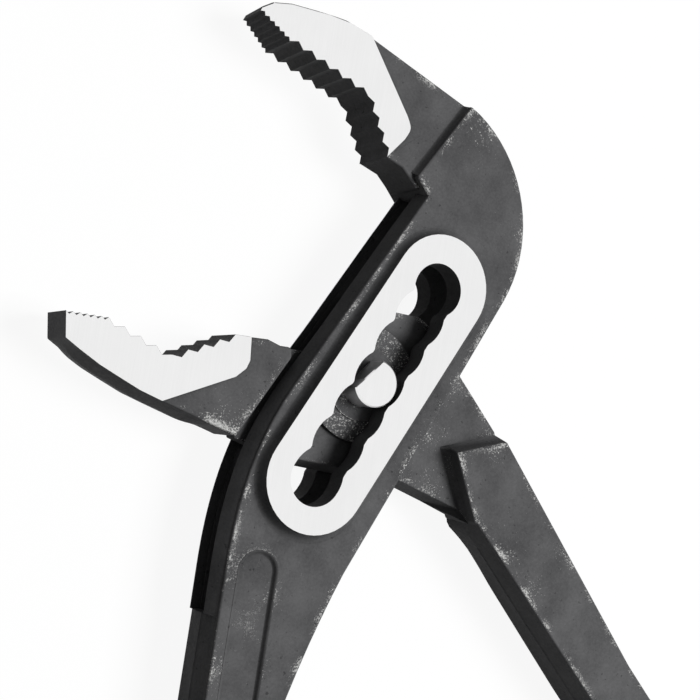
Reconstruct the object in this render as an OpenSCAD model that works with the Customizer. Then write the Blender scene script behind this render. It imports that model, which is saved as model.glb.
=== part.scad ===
// Box-joint water pump pliers, lying flat and opened wide.
// The origin is the pivot axis on the plane that the tool rests on.
// +Z runs up through the thickness, and the outer arm's handle runs along -Y.

/* [Thickness] */
// Thickness over the two ground pads of the joint, and of the grips
joint_t = 15.8; // [14.4:0.1:19]
// Thickness of the jaws and of the handles
arm_t = 10.8; // [9:0.1:13]
// Thickness of the upper jaw at its tip
tip_t = 7.8; // [5.5:0.1:8.8]
// Thickness of the outer arm's body at the shoulder below the jaw
shoulder_t = 13.4; // [13.1:0.1:14.2]
// Height of the box between the two cheeks
box_t = 6; // [4:0.1:7.2]
// Gap between the tongue's inner boss and each cheek
tongue_gap = 0.1; // [0.05:0.01:0.3]
// How far the tongue's outer boss stands back from the inner one
boss_step = 0.2; // [0.1:0.05:0.3]
// How far the tongue around its bosses stands back from the inner one
tongue_step = 1.1; // [0.5:0.1:1.2]
// How far the ground lands stand above the forged sides of the jaws
land_step = 0.3; // [0.2:0.05:0.4]

/* [Joint] */
// Number of notches in the slot
notches = 7; // [5:2:9]
// Distance between two notches
notch_pitch = 7; // [5.8:0.1:8.4]
// Radius of the pivot pin
pin_r = 4.3; // [3.5:0.05:5.2]
// Distance from the pin's axis to its flat
pin_flat = 2.2; // [1.8:0.05:2.6]
// How far below the middle of its notch the pin rests
pin_seat = 0.9; // [0:0.1:1]
// Gap between the pin and the lands on its round side
pin_gap = 0.15; // [0.1:0.01:0.3]
// Gap between the pin and its hole in the tongue
pin_fit = 0.02; // [0.01:0.01:0.05]
// Depth of the notches on the pin's round side
notch_depth = 0.65; // [0.4:0.05:1]
// Room beside the pin in the notches on the side of its flat
flat_room = 0.5; // [0.4:0.05:0.7]
// Radius of each notch
notch_r = 6.5; // [6:0.1:8]
// Width of the ground pad around the slot
pad_w = 4.8; // [3.5:0.1:5.2]
// Radius of the pin's core
core_r = 1.2; // [0.8:0.05:1.3]
// Running gap between the core and the pin
core_gap = 0.05; // [0.02:0.01:0.1]
// Thickness of the pin's two closed ends
pin_cap = 2; // [1:0.1:4]
// Radius of the tongue's inner boss
inner_boss_r = 7; // [6.2:0.1:8]
// Radius of the tongue's outer boss
outer_boss_r = 10.9; // [9:0.1:11.4]
// Angle through which the jaws close
close_a = 42; // [38:1:42]

/* [Jaws] */
// Number of fine teeth at each tip
fine_teeth = 6; // [4:1:8]
// Depth of the fine teeth
fine_depth = 0.5; // [0.3:0.05:0.7]
// Depth of the coarse teeth
tooth_depth = 0.9; // [0.6:0.05:1.2]
// Number of coarse teeth on the front stretch of the upper jaw
upper_front_teeth = 6; // [4:1:8]
// Number of coarse teeth on the front stretch of the lower jaw
lower_front_teeth = 4; // [3:1:6]
// Number of coarse teeth on the rear stretch of each jaw
rear_teeth = 4; // [3:1:5]
// Length of the taper at the upper jaw's tip
nose_len = 8; // [5:0.5:10]

/* [Handles] */
// Reach of the handles' steel, measured from the pivot
handle_len = 180; // [150:1:220]
// Width of the handles inside the grips
handle_w = 11.2; // [9.4:0.1:13]
// How far each handle bows outwards
handle_bow = 7; // [5:0.5:10]
// Where the grips start, measured from the pivot
grip_start = 95; // [92:1:110]
// Wall of a grip beside its handle
grip_wall = 2.6; // [1.5:0.1:3.2]
// Thickness of a grip's closed end
grip_end = 5; // [3:0.5:8]
// Gap between a grip and its handle
grip_fit = 0.05; // [0.02:0.01:0.1]

/* [Recessed panel] */
// Width of the bare panel on each face of the outer handle
panel_w = 7; // [5:0.1:8]
// Length of the panel
panel_len = 38; // [25:1:40]
// Depth of the panel
panel_depth = 0.7; // [0.4:0.05:1]

/* [Hidden] */
$fn = 64;
// Least gap between thick parts that pass each other
pass_gap = 0.4;
// Gap between the cheeks' left edge and the thick neck of the lower jaw, room for the forging's draft
neck_gap = 2.4;
// How far a cut runs past the face that it opens
over = 1;
// Larger than any piece
big = 400;
mid_z = joint_t / 2;
forged_grey = [0.30, 0.30, 0.31];
ground_grey = [0.85, 0.85, 0.86];
grip_grey = [0.16, 0.16, 0.17];

// The slot's direction, and the pin's path along it
slot_a = 63;
along = [cos(slot_a), sin(slot_a)];
half_travel = (notches - 1) / 2 * notch_pitch;
top_notch = (pin_seat + half_travel) * along;
low_notch = (pin_seat - half_travel) * along;
// The pin's flat lies this far round from the slot with the jaws wide open
flat_turn = 14.5;
// Sides of the slot, as distances from the pin's path
land_right = pin_r + pin_gap;
notch_right = land_right + notch_depth;
notch_left = pin_r + flat_room;
land_left = pin_r * cos(acos(pin_flat / pin_r) - flat_turn) + 6 * pin_gap;
slot_mid = (notch_right - notch_left) / 2;
slot_end_r = (notch_right + notch_left) / 2;
// The slot and the pad run on past the end notches by this much
end_room = 0.4;
slot_reach = half_travel + end_room;
// The slot's top end stops short of the pad's by this much
top_short = 0.9;
// The pad's middle line lies this far from the pin's path
pad_mid = 0.45;
pad_r = slot_end_r + pad_w;

// Outer arm, points above the joint, measured from the top notch
head_c = [-8.2, 11.2];
head_r = 26.2;
head_from = 61;
head_to = -23.7;
shoulder_top = [2.2, 35.2];
shoulder_low = [-7.1, 19.5];
box_corner = [-4.3, 16.5];
upper_tip = [-41.6, 41.5];
upper_fine_end = [-35.8, 37.3];
upper_vertex = [-19, 31.7];
upper_rear = [-13.3, 21.8];
upper_root = [[-9.6, 20.6], [-6.2, 17.6], [3.1, 17.2], [6.7, 31.2]];
upper_back = [[-19.9, 42.7], [-25.4, 44], [-31.2, 44.3], [-36, 44.4], [-39.3, 43.8], [-41.2, 42.5]];
// The rounded corner of the upper jaw's ground land: its two ends and the point between them
upper_land = [[-10.2, 25.8], [-9, 28.1], [-10.3, 30.2]];
upper_nose_a = 144;
// Wider than the jaw at its tip
nose_w = 30;

// Outer arm, points below the joint, measured from the lowest notch
left_knee = [-6, 15.4];
left_foot = [-13.5, -17.8];
right_foot = [9.5, -16.5];
box_floor = -26.1;
// The box's floor falls to the right at this angle
floor_a = -25;
// Longer than the box is wide
box_reach = 70;
panel_top = -14.3;
outer_x = -16.5;
// Pull of the curves that lead into the handle
knee_pull = 12;
foot_pull = 14;
foot_lean = 0.8;
foot_a = -112;
// The inner handle clears the outer one along a line at this angle
pass_a = -106;

// Inner arm, points measured from the pivot
lower_rear = [-27.4, 4.1];
lower_vertex = [-38.2, -1.3];
lower_fine_end = [-50.1, 2.9];
lower_tip = [-57.4, 2.7];
lower_belly = [[-56.7, -1.7], [-54.2, -3.1], [-50.3, -5.1], [-46.6, -6.6], [-42.8, -8.1], [-38.6, -9.3]];
// Under the neck the belly runs on to this point
lower_throat = [-23.2, -13.5];
// The lower jaw's ground land ends on these points
lower_land = [[-26.1, -3.1], [-24.4, -1.4], [-23.9, 0.1]];
neck = [[-15.7, 3.8], [-18.4, 3.7], [-20.9, 4.4], [-24.3, 4.2]];
// The tongue stays this far inside the cheeks' left edge
tongue_in = 0.8;
tongue_top = 14.2;
tongue_low = -16.6;
tongue_foot = [[18.1, -19.7], [10.8, -17.6]];
tongue_corner = [[10.4, 14.2], [12.8, 12.9]];
step_edge = [30.5, -4.5];
step_top = [31.05, -5.75];
step_in = [18.8, -10.4];
crotch = [[22, -16.7], [27.3, -22.5], [31.4, -26.4]];
// Run of the slope from the step down to the tongue
step_run = 1.3;
// Run of the foot along the handle's inner wall, which stays inside the box
wall_foot = 1.3;
// The slope's top edge starts this far down the handle's edge
step_back = 0.5;
inner_x = 11.9;
inner_a = 43.2;

// Points on curves and lines
function turned(p, a) = [p[0] * cos(a) - p[1] * sin(a), p[0] * sin(a) + p[1] * cos(a)];
function moved(points, by) = [for (p = points) p + by];
function left_of(a, b) = turned(b - a, 90) / norm(b - a);
function arc(c, r, a0, a1, n) = [for (i = [0:n]) c + r * turned([1, 0], a0 + (a1 - a0) * i / n)];
// The first n points of a curve from a to d, pulled towards b and c
function bezier(a, b, c, d, n) =
    [for (i = [0:n - 1]) let (t = i / n, s = 1 - t)
        s ^ 3 * a + 3 * s ^ 2 * t * b + 3 * s * t ^ 2 * c + t ^ 3 * d];
// A row of n teeth from crest a towards crest b, with the gullets on the left of that line
function teeth(a, b, n, depth) =
    [for (i = [0:n - 1], k = [0, 1]) a + (b - a) * (i + k / 2) / n + k * depth * left_of(a, b)];

// Handles: how far the centre line bows out at distance s, and the points down one side
bow_from = 62;
// The steel is even from here on
even_from = 80;
stations = 12;
function bow(s) = handle_bow * (1 - cos(180 * max(0, s - bow_from) / (handle_len - bow_from))) / 2;
function handle_stops(from) = concat(
    from < grip_start ? [from, (from + grip_start) / 2] : [],
    [for (i = [0:stations]) grip_start + (handle_len - grip_start) * i / stations]
);
function handle_side(x, out, half, from) =
    [for (s = handle_stops(from)) [x + out * bow(s) + half, -s]];
function backwards(points) = [for (i = [len(points) - 1:-1:0]) points[i]];
function handle_end(x, out, half, from) =
    concat(handle_side(x, out, half, from), backwards(handle_side(x, out, -half, from)));
outer_right = handle_side(outer_x, -1, handle_w / 2, even_from);

// Edges of the two cheeks, which the thick parts of the inner arm pass
edge_top = top_notch + box_corner;
edge_knee = low_notch + left_knee;
head_end = top_notch + head_c + head_r * turned([1, 0], head_to);
edge_foot = low_notch + right_foot;
left_n = left_of(edge_knee, edge_top);
left_d = left_n * left_knee + neck_gap;
right_n = left_of(head_end, edge_foot);
right_d = right_n * right_foot + pass_gap;
foot_n = turned([1, 0], pass_a + 90);
foot_d = foot_n * right_foot + pass_gap;
wall_n = turned(foot_n, close_a);
function tongue_left(y) = [(left_n * edge_knee - tongue_in - left_n[1] * y) / left_n[0], y];

// Half thickness of the outer arm's body, which tapers from the shoulder to the handle
taper_end = -60;
shoulder_y = top_notch[1] + shoulder_top[1];
function body_half(y) =
    arm_t / 2 + max(0, y - taper_end) * (shoulder_t - arm_t) / 2 / (shoulder_y - taper_end);

outer_outline = concat(
    moved([shoulder_low, shoulder_top], top_notch),
    arc(top_notch + head_c, head_r, head_from, head_to, 18),
    bezier(
        edge_foot,
        edge_foot + foot_pull * turned([1, 0], foot_a),
        outer_right[0] + [foot_lean, foot_pull],
        outer_right[0],
        10
    ),
    handle_end(outer_x, -1, handle_w / 2, even_from),
    bezier(
        low_notch + left_foot,
        low_notch + left_foot + [0, knee_pull],
        edge_knee + knee_pull * turned(left_n, 90),
        edge_knee,
        10
    ),
    [edge_knee, edge_top]
);

upper_teeth = concat(
    teeth(upper_tip, upper_fine_end, fine_teeth, fine_depth),
    teeth(upper_fine_end, upper_vertex, upper_front_teeth, tooth_depth),
    teeth(upper_vertex, upper_rear, rear_teeth, tooth_depth)
);
upper_outline = moved(concat(upper_teeth, [upper_rear], upper_root, [shoulder_top], upper_back), top_notch);
upper_land_outline = moved(
    concat(
        upper_teeth,
        [upper_rear],
        bezier(upper_land[0], upper_land[1], upper_land[1], upper_land[2], 6),
        [upper_land[2]],
        upper_back
    ),
    top_notch
);

lower_teeth = concat(
    teeth(lower_rear, lower_vertex, rear_teeth, tooth_depth),
    teeth(lower_vertex, lower_fine_end, lower_front_teeth, tooth_depth),
    teeth(lower_fine_end, lower_tip, fine_teeth, fine_depth),
    [lower_tip]
);
lower_outline = concat(
    neck, lower_teeth, lower_belly, [lower_throat, [lower_throat[0] / 2, tongue_low], [0, 0]]
);
lower_land_outline = concat([neck[3]], lower_teeth, lower_belly, lower_land);

tongue_outline = concat(
    [neck[0], tongue_left(neck[0][1]), tongue_left(tongue_top)],
    tongue_corner,
    [step_edge, step_top, crotch[2], crotch[1]],
    tongue_foot,
    [[lower_throat[0] / 2, tongue_low]],
    [lower_throat, neck[3], neck[2], neck[1]]
);

// Thickness over the inner boss, which bears on the cheeks
bearing_t = box_t - 2 * tongue_gap;
// Thickness of the tongue around its bosses
tongue_t = bearing_t - 2 * tongue_step;
inner_handle_outline = concat(
    [step_top, step_in],
    crotch,
    [for (p = handle_end(inner_x, 1, -handle_w / 2, even_from)) turned(p, inner_a)]
);

// A plate of thickness t about the tool's middle plane
module plate(t) {
    translate([0, 0, mid_z - t / 2]) linear_extrude(t) children();
}

// The half plane beyond distance d in the direction n
module beyond(n, d) {
    rotate(atan2(n[1], n[0])) translate([d, -big / 2]) square(big);
}

module slot_shape() {
    rotate(slot_a) {
        translate([pin_seat - slot_reach, -land_right])
            square([2 * slot_reach - top_short, land_right + land_left]);
        for (i = [0:notches - 1]) translate([pin_seat + i * notch_pitch - half_travel, 0]) intersection() {
            // The end notches are cut short, and the slot's round ends finish them
            from = i == 0 ? 0 : -notch_pitch / 2;
            to = i == notches - 1 ? 0 : notch_pitch / 2;
            translate([0, notch_r - notch_right]) circle(notch_r);
            translate([0, notch_left - notch_r]) circle(notch_r);
            translate([from, -notch_right]) square([to - from, notch_right + notch_left]);
        }
        for (x = [-slot_reach, slot_reach - top_short])
            translate([pin_seat + x, -slot_mid]) circle(slot_end_r);
    }
}

module pad_shape() {
    rotate(slot_a) translate([pin_seat, -pad_mid]) {
        translate([-slot_reach, -pad_r]) square([2 * slot_reach, 2 * pad_r]);
        for (x = [-slot_reach, slot_reach]) translate([x, 0]) circle(pad_r);
    }
}

// The box between the cheeks, open on the left and on the right
module box_shape() {
    floor_left = low_notch + [left_foot[0], box_floor];
    floor_right = floor_left + box_reach * turned([1, 0], floor_a);
    polygon([
        floor_left - over * turned([1, 0], floor_a),
        floor_right,
        [floor_right[0], edge_top[1]],
        [floor_left[0] - over, edge_top[1]]
    ]);
}

module panel_shape() {
    translate([outer_x, low_notch[1] + panel_top]) {
        translate([-panel_w / 2, panel_w / 2 - panel_len]) square([panel_w, panel_len - panel_w]);
        for (y = [-panel_w / 2, panel_w / 2 - panel_len]) translate([0, y]) circle(panel_w / 2);
    }
}

// The outer arm's body seen from the side, made thinner by inset on each face
module body_side(inset) {
    stops = [-handle_len - over, taper_end, shoulder_y];
    profile = concat(
        [for (y = stops) [y, body_half(y) - inset]],
        [for (i = [2:-1:0]) [stops[i], inset - body_half(stops[i])]]
    );
    translate([-big / 2, 0, mid_z]) rotate([90, 0, 90]) linear_extrude(big) polygon(profile);
}

// Cuts the same profile into both faces, w wide and facing the direction a
module face_cuts(at, a, w, profile) {
    translate([at[0], at[1], mid_z]) rotate(a) for (face = [0, 180]) rotate([face, 0, 0])
        translate([0, w / 2, 0]) rotate([90, 0, 0]) linear_extrude(w) polygon(profile);
}

// The two wedges that thin the upper jaw towards its tip
module nose_cuts() {
    drop = (arm_t - tip_t) / 2;
    slope = drop / nose_len;
    face_cuts(top_notch + upper_tip, upper_nose_a, nose_w, [
        [-nose_len - over, arm_t / 2 + slope * over],
        [over, arm_t / 2 - drop - slope * over],
        [over, arm_t],
        [-nose_len - over, arm_t]
    ]);
}

// What lies above the tongue and the slope that rises from it to the inner handle
module step_cut() {
    down = inner_handle_outline[len(inner_handle_outline) - 1] - step_top;
    start = step_top + step_back * down / norm(down);
    n = left_of(step_in, start);
    slope = (arm_t - tongue_t) / 2 / step_run;
    face_cuts(step_in, atan2(n[1], n[0]), box_reach, [
        [-over, arm_t / 2 + slope * over],
        [step_run, tongue_t / 2],
        [box_reach, tongue_t / 2],
        [box_reach, arm_t],
        [-over, arm_t]
    ]);
}

// What lies above the foot of the inner handle's inner wall
module foot_cut() {
    slope = (bearing_t - tongue_t) / 2 / wall_foot;
    face_cuts(foot_d * wall_n, atan2(-wall_n[1], -wall_n[0]), 2 * box_reach, [
        [-over, bearing_t / 2 + slope * over],
        [wall_foot, tongue_t / 2],
        [box_reach, tongue_t / 2],
        [box_reach, arm_t],
        [-over, arm_t]
    ]);
}

module pin_shape(gap, t) {
    plate(t) difference() {
        circle(pin_r + gap);
        rotate(slot_a - flat_turn) translate([-big / 2, pin_flat + gap]) square(big);
    }
}

// What the inner arm's jaw side and handle side keep clear of the cheeks, wide open and closed
module jaw_room() {
    intersection() {
        beyond(left_n, left_d);
        beyond(turned(left_n, close_a), left_d);
    }
}

module handle_room() {
    intersection() {
        beyond(right_n, right_d);
        beyond(turned(right_n, close_a), right_d);
        beyond(wall_n, foot_d);
    }
}

module outer_arm() {
    color(forged_grey) difference() {
        union() {
            intersection() {
                plate(joint_t) polygon(outer_outline);
                body_side(0);
            }
            difference() {
                union() {
                    plate(arm_t - 2 * land_step) polygon(upper_outline);
                    plate(arm_t) polygon(upper_land_outline);
                }
                nose_cuts();
            }
            plate(joint_t) pad_shape();
        }
        plate(joint_t + 2 * over) slot_shape();
        plate(box_t) box_shape();
        difference() {
            plate(joint_t) panel_shape();
            body_side(panel_depth);
        }
    }
}

module inner_arm() {
    color(forged_grey) difference() {
        union() {
            plate(arm_t - 2 * land_step) intersection() {
                polygon(lower_outline);
                jaw_room();
            }
            plate(arm_t) intersection() {
                polygon(lower_land_outline);
                jaw_room();
            }
            plate(bearing_t) circle(inner_boss_r);
            plate(bearing_t - 2 * boss_step) circle(outer_boss_r);
            plate(tongue_t) polygon(tongue_outline);
            difference() {
                plate(arm_t) intersection() {
                    union() {
                        polygon(tongue_outline);
                        polygon(inner_handle_outline);
                    }
                    handle_room();
                }
                step_cut();
            }
            difference() {
                plate(bearing_t) polygon(tongue_outline);
                foot_cut();
                step_cut();
            }
        }
        pin_shape(pin_fit, joint_t);
    }
}

module pivot_pin() {
    color(ground_grey) difference() {
        pin_shape(0, joint_t);
        plate(joint_t - 2 * pin_cap) circle(core_r + core_gap);
    }
}

module pin_core() {
    color(ground_grey) plate(joint_t - 2 * pin_cap - 2 * core_gap) circle(core_r);
}

// A sleeve over a handle that runs along -Y at x and bows to the side out
module grip(x, out) {
    bore_half = handle_w / 2 + grip_fit;
    half = bore_half + grip_wall;
    end_c = [x + out * handle_bow, half - handle_len - grip_end];
    right = [for (p = handle_side(x, out, half, grip_start)) if (p[1] > end_c[1]) p];
    left = [for (p = handle_side(x, out, -half, grip_start)) if (p[1] > end_c[1]) p];
    bore = handle_end(x, out, bore_half, grip_start);
    mouth = [bore[len(bore) - 1] + [0, over], bore[0] + [0, over]];
    foot = [bore[stations] - [0, grip_fit], bore[stations + 1] - [0, grip_fit]];
    color(grip_grey) difference() {
        plate(joint_t) polygon(concat(right, arc(end_c, half, 0, -180, 16), backwards(left)));
        plate(arm_t + 2 * grip_fit) polygon(concat(
            mouth,
            [for (i = [0:stations]) bore[i]],
            foot,
            [for (i = [stations + 1:len(bore) - 1]) bore[i]]
        ));
    }
}

module outer_grip() {
    grip(outer_x, -1);
}

module inner_grip() {
    rotate(inner_a) grip(inner_x, 1);
}

outer_arm();
inner_arm();
pivot_pin();
pin_core();
outer_grip();
inner_grip();
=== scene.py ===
import math

import bmesh
import bpy
import numpy as np
from bpy.props import FloatProperty, FloatVectorProperty, IntProperty, PointerProperty
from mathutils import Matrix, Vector


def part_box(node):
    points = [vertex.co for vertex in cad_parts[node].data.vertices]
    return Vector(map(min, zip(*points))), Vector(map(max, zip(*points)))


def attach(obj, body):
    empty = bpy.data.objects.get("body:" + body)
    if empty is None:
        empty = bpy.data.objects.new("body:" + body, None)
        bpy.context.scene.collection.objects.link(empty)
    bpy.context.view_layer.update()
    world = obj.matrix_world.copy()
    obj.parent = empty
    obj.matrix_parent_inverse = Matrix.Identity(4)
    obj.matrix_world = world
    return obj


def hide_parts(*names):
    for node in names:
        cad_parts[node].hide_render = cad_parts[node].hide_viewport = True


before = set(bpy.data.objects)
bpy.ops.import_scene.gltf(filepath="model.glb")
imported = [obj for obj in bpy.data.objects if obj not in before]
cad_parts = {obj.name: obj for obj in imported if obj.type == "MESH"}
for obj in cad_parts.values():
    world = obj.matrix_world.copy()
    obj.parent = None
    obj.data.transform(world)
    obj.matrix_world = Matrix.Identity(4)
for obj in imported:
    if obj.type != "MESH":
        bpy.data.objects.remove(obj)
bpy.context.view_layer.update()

bl_info = {
    "name": "Water pump pliers",
    "version": (1, 0, 0),
    "blender": (4, 5, 0),
    "location": "3D View > Sidebar > Pliers",
    "description": "Finishes the forged arms, the pin and the grips of a pair of box-joint water pump pliers",
    "category": "Object",
}

MM = 0.001
# The tool's middle plane, halfway up the pin
MID = (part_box("pivot_pin")[0].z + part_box("pivot_pin")[1].z) / 2
# Half thickness over the ground pads
PAD_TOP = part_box("pivot_pin")[1].z - MID

# Places and sizes in millimetres: x and y from the pivot, heights from the middle plane

# The slot's direction, half its width and half its length, and the ground pads round it
SLOT_ANGLE = math.radians(63)
SLOT_HALF, SLOT_END = 6.2, 29.0
PAD_CENTRE, PAD_REACH, PAD_RADIUS = (0.81, 0.60), 21.4, 9.75
# How far below the pad's face its cove ends, and the power by which the cove rises
COVE_DROP, COVE_POWER = 0.1, 2.6
# The outer arm's body thickens evenly from the handle up to the shoulder
BODY_THIN_Y, BODY_THICK_Y = -60.0, 54.71
BODY_THIN, BODY_THICK = 5.4, 6.7
# The shoulder's line from its low end to its top, the direction of its slope at each, the shares of the line
# between which the slope runs, the height of its foot, and how far inside the body it starts
SHOULDER = ((2.84, 39.01), (12.14, 54.71))
SHOULDER_OUT = ((-0.86, 0.51), (-0.947, 0.30))
SHOULDER_RUN = (0.02, 0.985)
SHOULDER_FOOT, SHOULDER_INSET = 5.1, 0.55
# The recessed panel, and how far outside its edge its slope starts
PANEL_X, PANEL_TOP_Y, PANEL_LENGTH, PANEL_HALF = -16.5, -32.21, 38.0, 3.5
PANEL_DEPTH, PANEL_INSET = 0.7, 0.3
# Of an added slope: its reach behind the wall and below the face, how far its toe is drawn in underneath,
# how far its foot starts below the face, and how far its top stands above it
SLOPE_BACK, SLOPE_SUNK, SLOPE_TOE, SLOPE_DIP, SLOPE_PROUD = 0.4, 0.5, 0.2, 0.015, 0.012
# The rows of teeth, and how near to them an edge belongs to a tooth
UPPER_TEETH = ((-31.66, 61.01), (-25.86, 56.81), (-9.06, 51.21), (-3.36, 41.31))
LOWER_TEETH = ((-57.4, 2.7), (-50.1, 2.9), (-38.2, -1.3), (-27.4, 4.1))
TOOTH_ROOM = 1.3
# The jaws' ground faces lie left of these x and above these y
UPPER_JAW_X, UPPER_JAW_Y, LOWER_JAW_X, LOWER_JAW_Y = -3.0, 41.0, -24.0, -20.0
# The outer arm's edges above this y, and the inner arm's left of this x, are its jaw's
JAW_EDGE_Y, JAW_EDGE_X = 40.0, -20.0
# The cheeks' left side, the curve round the knee below it, and the box between the cheeks
CHEEK_LEFT = ((-15.13, -2.51), (5.64, 36.01))
KNEE_FOOT, KNEE_PULL, BOX_FLOOR_Y, BOX_HALF = (-22.63, -35.71), 12.0, -44.0, 3.0
# The handles: half their thickness and width, their ends, their bow, and from where they are even in width
ARM_HALF = 5.4
OUTER_X, INNER_X, INNER_ANGLE = -16.5, 11.9, math.radians(43.2)
HANDLE_HALF, HANDLE_END, HANDLE_BOW, BOW_FROM, HANDLE_EVEN = 5.6, 180.0, 7.0, 62.0, 80.0
# The inner arm's left side, from the crotch on
CROTCH = ((26.6, -21.7), (27.3, -22.5), (31.4, -26.4))
# The tongue's front face, the part of it whose lower wall slopes, and its worn boss
TONGUE_HALF, TONGUE_LOW_Y, TONGUE_X, TONGUE_REACH = 1.8, -15.5, 8.0, 20.0
BOSS_HALF, BOSS_WEAR = 2.7, 0.45
# The pin: its radius, the distance of its flat, the flat's turn from the slot, and its broken edge
PIN_RADIUS, PIN_FLAT, PIN_TURN, PIN_BREAK = 4.3, 2.2, math.radians(14.5), 0.22
# The grips, measured from the pivot, and where the surfaces that run into them end
GRIP_FROM, GRIP_FOOT = 95.0, 5.0
INTO_GRIP = GRIP_FROM + 1
# Wall beside the handle, how far the sleeve keeps below the pads, gap in the bore, spacing of the rings
GRIP_WALL, GRIP_SHY, GRIP_FIT, GRIP_STEP = 2.65, 0.02, 0.05, 0.4
# Rounding of the mouth and of the foot, end and fall of the lip, depth of the waist, and swell of the middle
MOUTH_ROUND, FOOT_ROUND, LIP_END, LIP_FALL, WAIST, SWELL = 1.2, 9, 5.5, 0.7, 1.15, 0.75
# From where the ribs run, and the power that makes their grooves narrow
RIBS_FROM, RIB_POWER = 18, 0.35
# Powers of the rounded rectangles of the bore and of the sleeve, and the rings in the bore
BORE_POWER, SLEEVE_POWER, BORE_RINGS = 14.0, 3.4, 24

# The drafts: how far their top lies below the face, how far inside the wall they start and reach, the power
# by which they lean out, how far their halves lap, and the broken edge beside the open box
DRAFT_DROP, DRAFT_START, DRAFT_INSIDE, DRAFT_POWER, DRAFT_LAP, DRAFT_BROKEN = 0.42, 0.05, 0.6, 0.9, 0.02, 0.12
# How far their hidden corners are drawn in, how far the upper one is lifted for each millimetre that the edge
# stands out, and the most that it is lifted
DRAFT_TUCK, TUCK_LIFT, TUCK_LIFT_MOST = 0.4, 1.2, 0.78
# Share of the outer arm's side draft at distances down from the pivot: less beside the slot's top, most round
# the knee, and less again from the box's floor down
SIDE_SHARE = ((-36, 0.5), (-28, 0.62), (-8, 0.66), (4, 0.86), (14, 1), (43.9, 1), (44.1, 0.42), (95, 0.42))
# The halves' sides, and how far their edges stand out on the outer and on the inner arm: only the back's do
SIDES = (("front", 1, 0.0, 0.0), ("back", -1, 0.65, 1.15))
# Shares of that at distances down the outer arm, and away from the pivot along the inner arm
OUTER_EDGE = ((43.9, 0), (44.1, 0.75), (62, 1))
INNER_EDGE = ((34.3, 0.05), (35.4, 0.55), (36.4, 0.72), (39.5, 0.33), (43, 0.13), (47, 0.22), (52, 0.48),
              (78, 1))
# The inner arm's draft at distances from the pivot
INNER_DRAFT = ((34.3, 0.05), (36.4, 0.35), (56, 0.6))
# The lower jaw's belly, its section as heights and shares of its draft, and the height of its hidden corners
BELLY = ((-56.7, -1.7), (-54.2, -3.1), (-50.3, -5.1), (-46.6, -6.6), (-42.8, -8.1), (-38.6, -9.3),
         (-23.2, -13.5))
BELLY_SECTION = ((4.85, -0.05), (3.2, 0.36), (1.6, 0.7), (0.4, 0.94), (0.0, 1.0), (-0.4, 0.96), (-2.4, 0.8),
                 (-4.2, 0.6), (-4.8, -0.05))
BELLY_HIDDEN = 4.4
# The belly draft's distance from the two ends of its line, and the lengths over which it fades there
BELLY_ENDS, BELLY_FADES = (0.3, 4), (5, 6)
# The parting ridges' section as heights and shares, their reach into the wall, and the length of their fade
RIDGE_SECTION = ((-5.0, -0.05), (-2.6, 0.46), (-0.5, 0.93), (0.0, 1.0), (0.5, 0.93), (2.6, 0.46),
                 (5.0, -0.05))
RIDGE_INSIDE, RIDGE_FADE = 0.8, 8
# From where the inner arm's ridge runs
INNER_RIDGE_FROM = 40

# How near a face or point lies to a level that it belongs to, and the least z in the normal of a level face,
# of a jaw's sloping nose and of a face that is rubbed
LEVEL_ROOM, LEVEL_FACE, NOSE_FACE, BROAD_FACE = 0.05, 0.999, 0.9, 0.5
# How far past the box's inner face its faces, and the edges of the box and the tongue, are counted, and how
# many times as wide as a ground edge those edges are broken
BOX_FACES, BOX_EDGES, BOX_BREAK = 0.2, 0.1, 4
# Points of a CAD mesh closer than this are one, and faces that bend less than this are one
MERGE_DISTANCE, MERGE_ANGLE = 0.002, math.radians(0.4)
# Edges that bend less than the first aren't bevelled, and those past the second stay sharp without a bevel;
# edges of the added surfaces are sharp past the third
BEVEL_BEND, SHARP_BEND, ADDED_BEND = 24, 30, 40

# Places rubbed bright: x, y, radius, and how worn they are, above 1 where the wear is heaviest
RUBBED = ((-28.0, -12.2, 9, 1.3), (-22.5, -9.5, 7, 1.0), (19.6, 2.4, 6, 1.2), (15.6, -6.3, 7, 1.7),
          (12.6, -14.3, 6, 1.5), (16.9, -16.6, 6, 1.5), (34.2, -26.8, 8, 1.2), (39.8, -32.6, 8, 1.2),
          (29.6, -7.3, 6, 1.3), (21.4, -12.0, 6, 1.1), (47.0, -25.5, 7, 0.75), (15.4, 49.0, 8, 1.0),
          (3.0, 37.8, 6, 0.8), (-7.7, 12.0, 8, 0.8), (-21.2, -21.5, 7, 0.85), (-13.0, -40.2, 7, 0.65),
          (26.7, 34.1, 7, 0.75), (-21.9, -51.2, 7, 0.8))

# The stage, in metres and watts: the floor lies just under the tool, so that the two don't touch
FLOOR_HALF, FLOOR_Z = 3.0, -0.2 * MM
# Share of plain white in the floor as it is seen, the rest being its shading, and the sky's light
FLOOR_WHITE, SKY_LIGHT = 0.92, 0.085
LAMP_PLACE, LAMP_SIZE, LAMP_POWER = (1.12, 0.08, 1.66), 0.9, 46.4
CAMERA_PLACE, CAMERA_TURN = (-0.120338, -0.017446, 0.235483), (0.7174, -27.8674, 9.6146)
CAMERA_LENS, CAMERA_SENSOR, CAMERA_NEAR = 72.07, 36.0, 0.01


def linear(code):
    """Turns an sRGB hex colour into linear red, green and blue."""
    part = np.array([int(code[i:i + 2], 16) for i in (1, 3, 5)]) / 255
    return tuple(np.where(part <= 0.04045, part / 12.92, ((part + 0.055) / 1.055) ** 2.4).tolist())


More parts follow.
